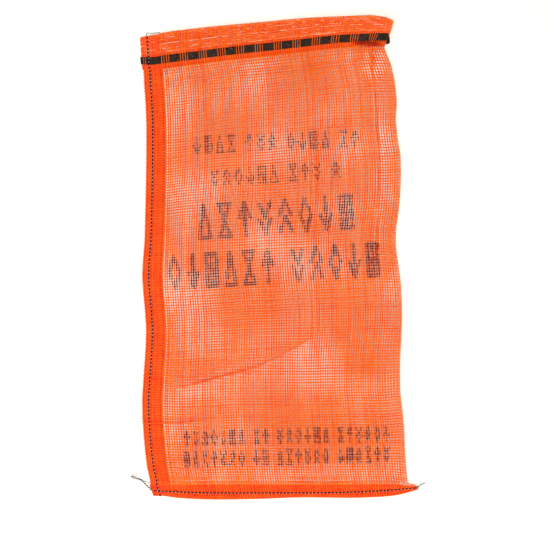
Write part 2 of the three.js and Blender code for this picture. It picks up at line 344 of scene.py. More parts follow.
def clothPoint(across, along):
    # across: 0 at the front's stitched edge, 1 on the fold, 2 at the back's stitched edge
    # along: 0 on the bottom fold, then 1, 2, 3, 4, 5 at hem top, strip, tape, band and mouth
    across, along = np.broadcast_arrays(np.asarray(across, float), np.asarray(along, float))
    side = np.where(across <= 1, 1.0, -1.0)
    a = 1 - abs(across - 1)
    zone = np.clip(np.floor(along).astype(int), 0, 4)
    part = along - zone
    x = (a - 0.5) * cloth["width"]
    for _ in range(4):
        lines = rowLines(x)
        low = np.take_along_axis(lines, zone[None], 0)[0]
        high = np.take_along_axis(lines, zone[None] + 1, 0)[0]
        y = low + (high - low) * part
        # unevenness of the two edges fades out towards the middle
        left = np.interp(y, *leftLine)
        right = np.interp(y, *rightLine)
        evenLeft = np.interp(y, *calmLeft)
        evenRight = np.interp(y, *calmRight)
        nearLeft = 1 - smooth(a, 0, cloth["edgeShare"])
        nearRight = smooth(a, 1 - cloth["edgeShare"], 1)
        shift = (left - evenLeft) * nearLeft + (right - evenRight) * nearRight
        radius = np.maximum(layerGap(right, y), 1.2 * mm) / 2
        girth = evenRight - evenLeft + (math.pi / 2 - 1) * radius
        fromFold = (1 - a) * girth
        bend = np.minimum(fromFold / radius, math.pi / 2)
        flatInset = radius + fromFold - radius * math.pi / 2
        inset = np.where(bend < math.pi / 2, radius * (1 - np.cos(bend)), flatInset)
        inHem = smooth(-y, -hemHigh.y - 3 * mm, -hemHigh.y + 2 * mm)
        ear = cloth["ear"] * inHem * smooth(a, 0.90, 1.0) ** 1.5
        x = evenRight + shift - inset + ear
    # the cloth is not quite square to itself, and its two layers differ
    calm = smooth(x - left, 26 * mm, 60 * mm) * smooth(right - x, 4 * mm, 26 * mm)
    calm = calm * smooth(y, hemHigh.y, hemHigh.y + 30 * mm) * smooth(tapeLine(x) - y, 14 * mm, 40 * mm)
    front = side > 0
    loose = smooth(x - left, 20 * mm, 40 * mm) * smooth(right - x, 2 * mm, 14 * mm)
    loose = loose * smooth(y, hemHigh.y - 4 * mm, hemHigh.y + 8 * mm)
    loose = loose * smooth(tapeLine(x) - y, 14 * mm, 24 * mm)
    slipX = np.where(front, slip["frontX"](x, y) * slipSize, 0) * loose
    slipY = np.where(front, slip["frontY"](x, y) * slipSize - slipDown, 0) * loose
    shiftX = drift["sharedX"](x, y) * driftSize * calm + slipX
    shiftY = drift["sharedY"](x, y) * driftSize * calm + slipY
    _, pullX, pullY, _ = creaseAt(x, y)
    x = x + shiftX + np.where(front, pullX, 0)
    y = y + shiftY + np.where(front, pullY, 0)
    rise = creaseAt(x, y)[0]
    half = layerGap(x, y) / 2
    fromBottom = np.where(zone == 0, part * (high - low), 1.0)
    turned = np.sin(np.minimum(fromBottom / cloth["bottomRadius"], math.pi / 2))
    middle = backHeight(x, y) + half
    z = middle + side * half * np.sin(bend) * turned + np.where(front, rise, 0)
    return np.stack([x, y, z], -1)


def unit(vectors):
    return vectors / np.maximum(np.linalg.norm(vectors, axis=-1, keepdims=True), 1e-12)


def clothFrame(across, along):
    # places on the cloth with its directions across, along and outwards
    place = clothPoint(across, along)
    step = 0.0015
    acrossStep = clothPoint(across + step, along) - clothPoint(across - step, along)
    above = clothPoint(across, np.minimum(along + step * 4, 5))
    below = clothPoint(across, np.maximum(along - step * 4, 0))
    upStep = above - below
    acrossWay = unit(acrossStep)
    outWay = unit(np.cross(acrossWay, upStep))
    return place, acrossWay, unit(upStep), outWay


print("cloth surface ready")

# finishes
def newFinish(name, roughness, gloss):
    made = bpy.data.materials.new(name)
    made.use_nodes = True
    nodes, links = made.node_tree.nodes, made.node_tree.links
    shader = nodes["Principled BSDF"]
    shader.inputs["Roughness"].default_value = roughness
    shader.inputs["Specular IOR Level"].default_value = gloss
    return made, nodes, links, shader


def addNoise(nodes, links, source, scale, detail=2.0):
    texture = nodes.new("ShaderNodeTexNoise")
    texture.inputs["Scale"].default_value = scale
    texture.inputs["Detail"].default_value = detail
    links.new(source, texture.inputs["Vector"])
    return texture.outputs["Fac"]


def addRamp(nodes, links, source, target, stops):
    # stops: place and colour, the first two in order
    ramp = nodes.new("ShaderNodeValToRGB")
    elements = ramp.color_ramp.elements
    for element, (place, colour) in zip(list(elements), stops):
        element.position = place
        element.color = colour
    for place, colour in stops[2:]:
        elements.new(place).color = colour
    links.new(source, ramp.inputs["Fac"])
    links.new(ramp.outputs["Color"], target)


def addBump(nodes, links, height, strength, distance, target):
    bump = nodes.new("ShaderNodeBump")
    bump.inputs["Strength"].default_value = strength
    bump.inputs["Distance"].default_value = distance
    links.new(height, bump.inputs["Height"])
    links.new(bump.outputs["Normal"], target)
    return bump


def yarnFinish(name, light, deep, creasedShade, roughness=0.45, gloss=0.10, mottle=0.3, glint=None):
    # polyethylene tape yarn: a little gloss, its colour uneven along and between the strands,
    # with painted shade deepening it where it is creased and, if given, a painted glint at the top of the
    # ramp
    made, nodes, links, shader = newFinish(name, roughness, gloss)
    coords = nodes.new("ShaderNodeTexCoord").outputs["Object"]
    blotch = nodes.new("ShaderNodeMix")
    blotch.inputs["Factor"].default_value = mottle
    links.new(addNoise(nodes, links, coords, 55.0, 3.0), blotch.inputs["A"])
    links.new(addNoise(nodes, links, coords, 420.0), blotch.inputs["B"])
    strand = nodes.new("ShaderNodeAttribute")
    strand.attribute_name = "strand"
    total = nodes.new("ShaderNodeMath")
    total.operation = "ADD"
    links.new(blotch.outputs["Result"], total.inputs[0])
    links.new(strand.outputs["Fac"], total.inputs[1])
    # painted shade: the stops below deep are the colours of the shade painted into creases
    deepestShade = (creasedShade[0] * 0.45, creasedShade[1] * 0.3, creasedShade[2] * 0.5, 1)
    stops = [(0.30, deep), (0.72, light), (0.16, creasedShade), (0.0, deepestShade)]
    # painted glint: a pale stop at the top of the ramp, where the noise runs highest
    if glint:
        stops.append((0.98, glint))
    addRamp(nodes, links, total.outputs[0], shader.inputs["Base Color"], stops)
    fibre = addNoise(nodes, links, coords, 900.0)
    addBump(nodes, links, fibre, 0.3, 0.3 * mm, shader.inputs["Normal"])
    return made


meshYarn = yarnFinish("mesh yarn", (0.88, 0.172, 0.010, 1), (0.85, 0.098, 0.002, 1), (0.82, 0.062, 0.001, 1))
bandYarn = yarnFinish("band yarn", (0.78, 0.080, 0.007, 1), (0.66, 0.022, 0.001, 1), (0.60, 0.012, 0.001, 1),
                      mottle=0.7)
mouthYarn = yarnFinish("mouth yarn", (0.80, 0.135, 0.028, 1), (0.72, 0.036, 0.004, 1),
                       (0.62, 0.014, 0.001, 1), mottle=0.9, glint=(0.92, 0.52, 0.36, 1))
inkedYarn = yarnFinish("inked yarn", (0.22, 0.038, 0.030, 1), (0.075, 0.013, 0.013, 1),
                       (0.03, 0.005, 0.005, 1), roughness=0.6, gloss=0.05)

# the print: rows of plain ornaments, each from one end of its middle line to the other, in mm
printRows = [
    {"from": (-145, 178), "to": (123, 189), "height": 29, "stroke": 3.2, "groups": (4, 3, 4, 2)},
    {"from": (-117, 126), "to": (93, 140), "height": 29, "stroke": 3.3, "groups": (6, 3, 1)},
    {"from": (-140, 56), "to": (116, 74), "height": 58, "stroke": 6.2, "groups": (8,)},
    {"from": (-186, -24), "to": (157, -1), "height": 57, "stroke": 6.2, "groups": (6, 5)},
    {"from": (-159, -285), "to": (171, -277), "height": 26, "stroke": 3.3, "groups": (7, 2, 6, 6)},
    {"from": (-159, -319), "to": (171, -310), "height": 27, "stroke": 3.3, "groups": (7, 2, 6, 6)},
]
# each ornament's strokes, from x, y to x, y in a box that runs from -1 to 1
ornaments = [
    [(0, -1, 1, 0), (1, 0, 0, 1), (0, 1, -1, 0), (-1, 0, 0, -1)],
    [(0, -1, 0, 1), (-1, 0.1, 0, 1), (1, 0.1, 0, 1)],
    [(-1, -1, 1, -1), (1, -1, 1, 1), (1, 1, -1, 1), (-1, 1, -1, -1), (0, -1, 0, 1), (-1, 0, 1, 0)],
    [(-1, 0.1, 0, 1), (0, 1, 1, 0.1), (-1, -0.9, 0, 0), (0, 0, 1, -0.9)],
    [(-1, -1, 1, -1), (-1, 1, 1, 1), (-1, -1, 1, 1), (-1, 1, 1, -1)],
    [(0, -1, 0, 1), (-1, -0.1, 0, -1), (1, -0.1, 0, -1)],
    [(-1, -0.1, 0, -1), (0, -1, 1, -0.1), (-1, 0.9, 0, 0), (0, 0, 1, 0.9)],
    [(-1, -1, 1, -1), (-1, -1, 0, 1), (1, -1, 0, 1)],
]


def inkDepth(points):
    # how far inside a printed stroke each point lies, in mm
    x, y = points[..., 0] / mm, points[..., 1] / mm
    depth = np.full(x.shape, -4.0)
    for number, row in enumerate(printRows):
        start, end = np.array(row["from"]), np.array(row["to"])
        length = np.hypot(*(end - start))
        way = (end - start) / length
        along = (x - start[0]) * way[0] + (y - start[1]) * way[1]
        above = -(x - start[0]) * way[1] + (y - start[1]) * way[0]
        pitch = length / (sum(row["groups"]) + 0.6 * (len(row["groups"]) - 1))
        reach = np.array([pitch * 0.37, row["height"] / 2]) - row["stroke"] / 2
        place = 0.0
        kind = number
        for group in row["groups"]:
            for _ in range(group):
                kind = (kind + 5) % len(ornaments)
                across = along - (place + 0.5) * pitch
                near = np.flatnonzero((abs(across) < pitch / 2) & (abs(above) < row["height"]))
                px, py = across.flat[near], above.flat[near]
                for stroke in ornaments[kind]:
                    a, b = stroke[:2] * reach, stroke[2:] * reach
                    run = b - a
                    t = np.clip(((px - a[0]) * run[0] + (py - a[1]) * run[1]) / (run @ run), 0, 1)
                    far = np.hypot(px - a[0] - t * run[0], py - a[1] - t * run[1])
                    depth.flat[near] = np.maximum(depth.flat[near], row["stroke"] / 2 - far)
                place += 1
            place += 0.6
    return depth


def strandMesh(name, stations, strands, sides=4):
    # parallel strands in steps: x counts the stations, y the strands, four units apart
    bm = bmesh.new()
    bmesh.ops.create_cone(bm, cap_ends=True, segments=sides, radius1=0.5, radius2=0.5, depth=stations - 1)
    bmesh.ops.rotate(bm, verts=bm.verts, cent=(0, 0, 0), matrix=Matrix.Rotation(math.pi / 2, 3, "Y"))
    bmesh.ops.translate(bm, verts=bm.verts, vec=((stations - 1) / 2, 0, 0))
    if stations > 2:
        lengthwise = [e for e in bm.edges if abs(e.verts[0].co.x - e.verts[1].co.x) > 0.5]
        bmesh.ops.subdivide_edges(bm, edges=lengthwise, cuts=stations - 2, use_grid_fill=True)
    mesh = bpy.data.meshes.new(name)
    bm.to_mesh(mesh)
    bm.free()
    strand = bpy.data.objects.new(name, mesh)
    scene.collection.objects.link(strand)
    rows = strand.modifiers.new("rows", "ARRAY")
    rows.use_relative_offset = False
    rows.use_constant_offset = True
    rows.constant_offset_displace = (0, 4, 0)
    rows.count = strands
    bpy.context.view_layer.update()
    whole = bpy.data.meshes.new_from_object(strand.evaluated_get(bpy.context.evaluated_depsgraph_get()))
    strand.modifiers.clear()
    strand.data = whole
    return strand


def layStrands(name, place, sideways, outwards, width, thickness, finish, sides=4, deeperToneAndLight=0.0):
    # lays strands along a lattice of places; place[strand, station] with its sideways and outward directions
    shape = place.shape[:2]
    strands, stations = shape
    piece = strandMesh(name, stations, strands, sides)
    mesh = piece.data
    count = len(mesh.vertices)
    flat = np.empty(count * 3)
    mesh.vertices.foreach_get("co", flat)
    flat = flat.reshape(-1, 3)
    station = np.rint(flat[:, 0]).astype(int)
    number = np.rint(flat[:, 1] / 4).astype(int)
    aside = (flat[:, 1] - 4 * number) * np.broadcast_to(width, shape)[number, station]
    out = flat[:, 2] * np.broadcast_to(thickness, shape)[number, station]
    laid = place[number, station] + sideways[number, station] * aside[:, None]
    laid = laid + outwards[number, station] * out[:, None]
    mesh.vertices.foreach_set("co", laid.astype(np.float32).ravel())
    toneAndPaintedLight = np.random.default_rng(strands * 31 + stations).uniform(-0.16, 0.16, strands)[number]
    # painted shade along the creases, on top of each strand's random tone
    toneAndPaintedLight = toneAndPaintedLight - 0.6 * creaseAt(laid[:, 0], laid[:, 1])[3]
    # deeper tone where the cloth is closely woven or at random, and painted light where the value is negative
    toneAndPaintedLight = toneAndPaintedLight - np.broadcast_to(deeperToneAndLight, shape)[number, station]
    mesh.attributes.new("strand", "FLOAT", "POINT").data.foreach_set("value", toneAndPaintedLight.astype(np.float32))
    bakeMap(mesh, flat, number, strands, stations, sides)
    mesh.materials.append(finish)
    mesh.polygons.foreach_set("use_smooth", np.ones(len(mesh.polygons), bool))
    mesh.update()
    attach(piece, "bag")
    return piece


def bakeMap(mesh, flat, number, strands, stations, sides):
    # a map with each side of each strand in a row of its own
    loops = np.empty(len(mesh.loops), np.int32)
    mesh.loops.foreach_get("vertex_index", loops)
    starts = np.empty(len(mesh.polygons), np.int32)
    totals = np.empty(len(mesh.polygons), np.int32)
    mesh.polygons.foreach_get("loop_start", starts)
    mesh.polygons.foreach_get("loop_total", totals)
    face = np.repeat(np.arange(len(starts)), totals)
    turn = np.arctan2(flat[:, 2], flat[:, 1] - 4 * number)[loops]
    middle = np.arctan2(np.bincount(face, np.sin(turn)), np.bincount(face, np.cos(turn)))
    side = np.floor((middle % (2 * math.pi)) / (2 * math.pi) * sides)
    within = (turn / (2 * math.pi) * sides - side[face] + 0.5) % sides - 0.5
    u = 0.002 + 0.996 * flat[loops, 0] / (stations - 1)
    v = (number[loops] * sides + side[face] + 0.1 + 0.8 * np.clip(within, 0, 1)) / (strands * sides)
    layer = mesh.uv_layers.new(name="OFBake")
    layer.uv.foreach_set("vector", np.stack([u, v], -1).astype(np.float32).ravel())


def spaced(zone, count):
    return zone + (np.arange(count) + 0.5) / count


hemRows = spaced(0, cloth["hemRows"])
# the mesh closes up over its last rows before the hem
closing = 1 - 0.45 * smooth(-np.arange(cloth["meshRows"]), -7.0, 0.0)
meshPitch = closing * np.linspace(0.975, 1.025, cloth["meshRows"])
meshRows = 1 + (np.cumsum(meshPitch) - meshPitch[0] * 0.8) / (meshPitch.sum() - 0.3)
stripRows = spaced(2, cloth["stripRows"])
# the band's rows leave a few lines of pinholes between them
bandPitch = np.array([1.0, 1.0, 1.5, 1.0, 1.0, 1.2, 1.6, 1.0, 1.3, 1.0, 1.0, 1.6, 1.0, 1.0, 1.5, 1.0, 1.0,
                      1.6, 1.0, 1.3, 1.0, 1.0, 0.9])
bandRows = 4 + (np.cumsum(bandPitch) - 0.5) / bandPitch.sum()
selvedgeShare = cloth["selvedge"] / cloth["width"]
selvedgeNumber = np.arange(cloth["selvedgeWarps"])
selvedgePitch = 1 + 0.2 * smooth(selvedgeNumber, cloth["selvedgeWarps"] - 4.0, cloth["selvedgeWarps"])
selvedgeColumns = (np.cumsum(selvedgePitch) - 0.5) / selvedgePitch.sum() * selvedgeShare
meshColumns = selvedgeShare + (np.arange(cloth["meshWarps"]) + 0.5) / cloth["meshWarps"] * (1 - selvedgeShare)
nearFold = 1 - np.array([8.0, 4.2, 2.8, 1.6, 0.8]) * mm / cloth["width"]
weftEnd = -1.5 * mm / cloth["width"]
oneLayer = np.sort(np.concatenate([[weftEnd], selvedgeColumns[1::4], meshColumns[1::2][:-2], nearFold]))
weftStations = np.concatenate([oneLayer, [1.0], 2 - oneLayer[::-1]])

weft = {
    "width": 1.14 * mm,
    "thickness": 0.30 * mm,
    "wander": 0.20 * mm,
    "hemWidth": 1.70 * mm,
    "stripWidth": 1.60 * mm,
    "bandWidth": 1.30 * mm,
    "edgeWidth": 2.1 * mm,        # the last row at the mouth, round which the warps turn
}
warp = {
    "width": 1.08 * mm,
    "thickness": 0.34 * mm,
    "lift": 0.30 * mm,
    "sway": 0.16 * mm,
    "backShift": 1.4 * mm,        # the fold doesn't fall midway between two warps
    "tapeLift": 0.95 * mm,        # over the tape
    "tapeDrop": 0.62 * mm,        # under it
    "tapeWidth": 0.85 * mm,
    "knobWidth": 2.3 * mm,        # at the mouth, where each warp turns back over the last row
    "knobThickness": 1.0 * mm,
    "edgeDepth": 0.08,            # deeper colour where the cloth is closely woven
    "selvedgeWidth": 1.60 * mm,
    "selvedgeThickness": 0.30 * mm,
}
jitter = np.random.default_rng(21)


def weftLattice(rows, wander):
    across, along = np.meshgrid(weftStations, rows)
    place, _, up, out = clothFrame(across, along)
    stray = jitter.normal(0, wander, (len(rows), 1)) + jitter.normal(0, wander * 0.4, across.shape)
    return place + up * stray[..., None], -up, out


def weftPiece(name, rows, width, finish, wander, deeperToneAndLight=0.0):
    place, down, out = weftLattice(rows, wander)
    thick = weft["thickness"] * (1 + jitter.normal(0, 0.10, place.shape[:2]))
    return layStrands(name, place, down, out, width, thick, finish, deeperToneAndLight=deeperToneAndLight)


meshPlace, meshDown, meshOut = weftLattice(meshRows, weft["wander"])
evenness = 1 + jitter.normal(0, 0.09, (len(meshRows), 1)) + jitter.normal(0, 0.06, meshPlace.shape[:2])
meshWidth = weft["width"] * evenness
meshWeft = layStrands("meshWeft", meshPlace, meshDown, meshOut, meshWidth, weft["thickness"], meshYarn)
hemDepth = jitter.normal(0.05, 0.12, (len(hemRows), len(weftStations)))
hemWeft = weftPiece("hemWeft", hemRows, weft["hemWidth"], bandYarn, 0.1 * mm, hemDepth)
stripWeft = weftPiece("stripWeft", stripRows, weft["stripWidth"], bandYarn, 0.1 * mm)
bandWidth = np.full((len(bandRows), len(weftStations)), weft["bandWidth"])
bandWidth[-1] = weft["edgeWidth"] * (1 + jitter.normal(0, 0.22, len(weftStations)))
# painted light: the yarn is made lighter at random along the rows that are set apart, and on the knobs at the
# mouth, standing in for light showing through there
openRow = np.clip(bandPitch - 1.0, 0, 0.5)[:, None]
bandToneAndLight = jitter.normal(0, 0.10, bandWidth.shape) - openRow * jitter.uniform(0, 0.9, bandWidth.shape)
bandWeft = weftPiece("mouthBandWeft", bandRows, bandWidth, mouthYarn, 0.12 * mm, bandToneAndLight)
print("weft laid")

onTape = [3.12, 3.5, 3.88]
knob = [4.965, 4.999]
warpStations = np.concatenate([[0.002], hemRows, meshRows, stripRows, onTape, bandRows[:-1], knob])
atTape = ((warpStations > 3) & (warpStations < 4))[None]
# once above the strip and twice in the hem
closeWoven = ((warpStations > 2) + 2.0 * (warpStations < 1))[None]


def warpLattice(layer, upper):
    # one warp of each pair runs over the weft and one under it, changing sides between rows;
    # at the tape, four pairs pass over it and the next four under it
    columns = meshColumns if layer == "front" else 2 - meshColumns + warp["backShift"] / cloth["width"]
    along, across = np.meshgrid(warpStations, columns)
    place, acrossWay, _, out = clothFrame(across, along)
    over = ((np.arange(len(columns)) // 4) % 2 == 0)[:, None]
    turn = np.where(np.arange(len(warpStations)) % 2 == 0, 1.0, -1.0) * (1 if upper else -1)
    lift = np.full(across.shape, warp["lift"] if upper else -warp["lift"])
    lift = np.where(atTape, np.where(over & upper, warp["tapeLift"], -warp["tapeDrop"]), lift)
    sway = turn * warp["sway"] * ~atTape + jitter.normal(0, 0.05 * mm, across.shape)
    sway = sway + jitter.normal(0, 0.18 * mm, (len(columns), 1))
    width = np.where(atTape, warp["tapeWidth"], warp["width"]) * (1 + jitter.normal(0, 0.08, across.shape))
    width[:, -2:] = warp["knobWidth"] * (1 + jitter.normal(0, 0.10, (len(columns), 1)))
    place = place + acrossWay * sway[..., None] + out * lift[..., None]
    place[:, -1, :2] += 1.2 * mm * unit(place[:, -1, :2] - place[:, -2, :2])
    thickness = np.full(across.shape, warp["thickness"])
    thickness[:, -2:] = warp["knobThickness"]
    return place, acrossWay, out, width, thickness


def selvedgePiece(name, layer):
    # close warps in plain weave; two of them cross over the tape and the rest pass under it
    columns = selvedgeColumns if layer == "front" else 2 - selvedgeColumns
    along, across = np.meshgrid(warpStations, columns)
    place, acrossWay, _, out = clothFrame(across, along)
    number = np.arange(len(columns))[:, None]
    weave = np.where((number + np.arange(len(warpStations))[None]) % 2 == 0, 1.0, -1.0) * 0.22 * mm
    over = (number == 1) | (number == 3)
    lift = np.where(atTape, np.where(over, warp["tapeLift"], -warp["tapeDrop"]), weave)
    width = np.where(atTape & over, warp["tapeWidth"], warp["selvedgeWidth"])
    place = place + out * lift[..., None]
    return layStrands(name, place, acrossWay, out, width, warp["selvedgeThickness"], bandYarn)


lattices = {
    (layer, upper): warpLattice(layer, upper)
    for layer in ("front", "back")
    for upper in (True, False)
}
warpPieces = [
    layStrands(name, *lattices[key], meshYarn, deeperToneAndLight=warp["edgeDepth"] * closeWoven)
    for name, key in (("frontWarpOver", ("front", True)), ("frontWarpUnder", ("front", False)),
                      ("backWarpOver", ("back", True)), ("backWarpUnder", ("back", False)))
]
frontSelvedge = selvedgePiece("frontSelvedgeWarp", "front")
backSelvedge = selvedgePiece("backSelvedgeWarp", "back")
print("warp laid")


def inkedRuns(lattice, width, steps):
    # the stretches of each strand that lie inside a printed stroke, as strands of two stations
    place = lattice[0]
    t = (np.arange(steps) + 0.5) / steps
    middle = place[:, :-1, None] * (1 - t)[:, None] + place[:, 1:, None] * t[:, None]
    depth = inkDepth(middle) + jitter.normal(0, 0.45, middle.shape[:3])
    inked = depth > 0.25
    row, cell = np.nonzero(inked.any(-1) & (jitter.random(inked.shape[:2]) > 0.06))
    first = inked[row, cell].argmax(-1) / steps
    last = 1 - inked[row, cell][:, ::-1].argmax(-1) / steps
    ends = np.stack([first, last], -1)[..., None]
    found = []
    for value in lattice:
        found.append(value[row, cell][:, None] * (1 - ends) + value[row, cell + 1][:, None] * ends)
    widths = np.broadcast_to(width, place.shape[:2])
    wide = np.broadcast_to(widths[row, cell][:, None], (len(row), 2))
    return found[0] + found[2] * 0.05 * mm, found[1], found[2], wide


onFront = slice(0, np.searchsorted(weftStations, 0.995))
frontWeft = [value[:, onFront] for value in (meshPlace, meshDown, meshOut)]
weftInk = inkedRuns(frontWeft, meshWidth[:, onFront], 10)
warpInk = inkedRuns(lattices["front", True][:3], lattices["front", True][3], 5)
underInk = inkedRuns(lattices["front", False][:3], lattices["front", False][3], 5)
inkParts = [np.concatenate(parts) for parts in zip(weftInk, warpInk, underInk)]
printedInk = layStrands("printedInk", *inkParts[:3], inkParts[3] * 1.06, warp["thickness"], inkedYarn)
print("print laid", len(inkParts[0]))

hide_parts("side_fold")
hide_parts("front_mesh_panel")
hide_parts("back_mesh_panel")
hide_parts("side_band_front")
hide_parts("side_band_back")
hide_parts("bottom_hem")
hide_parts("mouth_band_front", "mouth_band_back", "mouth_band_fold")

# the draw tape
tape = {
    "width": 11.6 * mm,
    "thickness": 0.5 * mm,
    "sewnEnd": tapeLow.x,
    "loopEnd": tapeHigh.x,
    "skew": 4.5 * mm,             # the loop turns a little down towards the hem
    "stations": 150,
    "rows": 6,
}


def tapeFinish():
    made, nodes, links, shader = newFinish("black tape", 0.24, 0.05)
    uv = nodes.new("ShaderNodeUVMap")
    uv.uv_map = "tapeMap"
    stretch = nodes.new("ShaderNodeMapping")
    stretch.inputs["Scale"].default_value = (60.0, 9.0, 1.0)
    links.new(uv.outputs["UV"], stretch.inputs["Vector"])
    toneAndGlints = addNoise(nodes, links, stretch.outputs["Vector"], 2.0, 4.0)
    # painted glints: the pale top stop turns the highest streaks grey-brown; below it the black varies at
    # random
    stops = [(0.0, (0.006, 0.002, 0.001, 1)), (0.60, (0.018, 0.008, 0.004, 1)), (0.76, (0.20, 0.15, 0.13, 1))]
    addRamp(nodes, links, toneAndGlints, shader.inputs["Base Color"], stops)
    # the strands lie in fine ridges, and small crumples here and there catch the light
    wave = nodes.new("ShaderNodeTexWave")
    wave.bands_direction = "Y"
    wave.inputs["Scale"].default_value = 3.4
    wave.inputs["Distortion"].default_value = 0.6
    links.new(uv.outputs["UV"], wave.inputs["Vector"])
    crumple = addNoise(nodes, links, nodes.new("ShaderNodeTexCoord").outputs["Object"], 260.0)
    crumples = addBump(nodes, links, crumple, 0.7, 2 * mm, shader.inputs["Normal"])
    addBump(nodes, links, wave.outputs["Fac"], 0.5, 0.3 * mm, crumples.inputs["Normal"])
    return made


def tapeCourse():
    # the tape's middle line: the front run, the loop round the fold and the back run
    foldX = float(np.interp(tapeLine(np.array([0.16]))[0], *rightLine))
    x = np.linspace(tape["sewnEnd"], foldX - 3 * mm, tape["stations"])
    y = tapeLine(x)
    right = np.interp(y, *rightLine)
    left = np.interp(y, *leftLine)
    a = np.clip((x - left) / (right - left), 0, 1)
    front = clothPoint(a, np.full_like(a, 3.5))
    back = clothPoint(2 - a, np.full_like(a, 3.5))
    frontLine = np.stack([x, y, front[:, 2]], -1)
    backLine = np.stack([x, y, back[:, 2]], -1)
    top, low = frontLine[-1], backLine[-1]
    radius = (top[2] - low[2]) / 2
    reach = tape["loopEnd"] - tape["thickness"] - top[0]
    turn = np.linspace(math.pi / 2, -math.pi / 2, 25)[1:-1]
    bulge = 1 + 0.25 * np.sin(turn * 2) ** 2
    loopX = top[0] + reach * np.cos(turn)
    loopZ = (top[2] + low[2]) / 2 + radius * bulge * np.sin(turn)
    slope = smooth(-turn, -math.pi / 2, math.pi / 2)
    loopY = tapeLine(loopX) - tape["skew"] * slope
    loop = np.stack([loopX, loopY, loopZ], -1)
    backLine[:, 1] -= tape["skew"] * smooth(x, foldX - 90 * mm, foldX - 3 * mm)
    return np.concatenate([frontLine, loop, backLine[::-1]])


def makeTape():
    course = tapeCourse()
    stations, rows = len(course), tape["rows"]
    bm = bmesh.new()
    bmesh.ops.create_grid(bm, x_segments=stations - 1, y_segments=rows, size=0.5)
    mesh = bpy.data.meshes.new("drawTape")
    bm.to_mesh(mesh)
    bm.free()
    count = len(mesh.vertices)
    flat = np.empty(count * 3)
    mesh.vertices.foreach_get("co", flat)
    flat = flat.reshape(-1, 3)
    station = np.rint((flat[:, 0] + 0.5) * (stations - 1)).astype(int)
    aside = flat[:, 1]
    way = unit(np.gradient(course, axis=0))
    sideways = unit(np.cross(np.array([0, 0, 1.0]), np.array([1.0, tapeSlope, 0])))
    out = unit(np.cross(way, np.broadcast_to(sideways, way.shape)))
    crown = 0.15 * mm * np.cos(aside * math.pi)
    laid = course[station] + sideways * (aside * tape["width"])[:, None] + out[station] * crown[:, None]
    mesh.vertices.foreach_set("co", laid.astype(np.float32).ravel())
    loops = np.empty(len(mesh.loops), np.int32)
    mesh.loops.foreach_get("vertex_index", loops)
    uv = mesh.uv_layers.new(name="tapeMap")
    spread = np.stack([station[loops] / stations, aside[loops] + 0.5], -1)
    uv.uv.foreach_set("vector", spread.astype(np.float32).ravel())
    mesh.polygons.foreach_set("use_smooth", np.ones(len(mesh.polygons), bool))
    piece = bpy.data.objects.new("drawTape", mesh)
    scene.collection.objects.link(piece)
    mesh.materials.append(tapeFinish())
    solid = piece.modifiers.new("thickness", "SOLIDIFY")
    solid.thickness = tape["thickness"]
    solid.offset = 0
    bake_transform(piece)
    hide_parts("draw_tape")
    return piece


drawTape = makeTape()
print("draw tape made")

# seams
seam = {
    "stitch": 5.85 * mm,
    "needle": 1.08 * mm,          # radius of the dark thread
    "looper": 0.42 * mm,          # and of the pale one
    "inset": 10 * mm,
    "steps": 12,
    "needleShare": 0.66,          # the dark thread shows for more of each stitch than the pale one
}


def threadFinish(name, colour, pale):
    made, nodes, links, shader = newFinish(name, 0.75, 0.1)
    twist = nodes.new("ShaderNodeTexWave")
    twist.inputs["Scale"].default_value = 500.0
    twist.inputs["Distortion"].default_value = 1.0
    links.new(nodes.new("ShaderNodeTexCoord").outputs["Object"], twist.inputs["Vector"])
    stops = [(0.0, colour), (1.0, pale)]
    addRamp(nodes, links, twist.outputs["Fac"], shader.inputs["Base Color"], stops)
    addBump(nodes, links, twist.outputs["Fac"], 0.4, 0.2 * mm, shader.inputs["Normal"])
    return made


blackThread = threadFinish("black thread", (0.006, 0.003, 0.002, 1), (0.022, 0.012, 0.009, 1))
whiteThread = threadFinish("white thread", (0.34, 0.27, 0.25, 1), (0.62, 0.54, 0.52, 1))


def threadPiece(name, points, radius, finish):
    curve = bpy.data.curves.new(name, "CURVE")
    curve.dimensions = "3D"
    spline = curve.splines.new("POLY")
    spline.points.add(len(points) - 1)
    spline.points.foreach_set("co", np.column_stack([points, np.ones(len(points))]).ravel())
    curve.bevel_depth = radius
    curve.bevel_resolution = 1
    curve.use_fill_caps = True
    curve.materials.append(finish)
    piece = bpy.data.objects.new(name, curve)
    scene.collection.objects.link(piece)
    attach(piece, "bag")
    return piece


def pathOf(points, gap):
    # points evenly spaced along a line of points
    points = np.asarray(points, float)
    run = np.concatenate([[0], np.cumsum(np.linalg.norm(np.diff(points, axis=0), axis=1))])
    count = int(run[-1] / gap) + 1
    where = np.linspace(0, run[-1], count)
    return np.stack([np.interp(where, run, points[:, k]) for k in range(points.shape[1])], -1), where


def seamThreads(name, line, lift):
    # a black and a white thread that come up by turns through both plies
    gap = seam["stitch"] / seam["steps"]
    middle, run = pathOf(line, gap)
    top = lift(middle[:, 0], middle[:, 1], True)
    low = lift(middle[:, 0], middle[:, 1], False)
    centre, reach = (top + low) / 2, (top - low) / 2
    part = run / seam["stitch"] % 1
    share = seam["needleShare"]
    rising = np.sin(math.pi * part / share)
    falling = -np.sin(math.pi * (part - share) / (1 - share))
    beat = np.where(part < share, rising, falling)
    firm = np.sign(beat) * abs(beat) ** 0.5
    pieces = []
    for colour, sign, finish in (("Needle", 1, blackThread), ("Looper", -1, whiteThread)):
        radius = seam[colour.lower()]
        z = np.maximum(centre + sign * reach * firm, radius * 1.05)
        way = unit(np.gradient(middle, axis=0))
        aside = sign * 0.18 * mm * np.stack([-way[:, 1], way[:, 0]], -1)
        points = np.column_stack([middle[:, :2] + aside, z])
        pieces.append(threadPiece(name + colour, points, radius, finish))
    return pieces


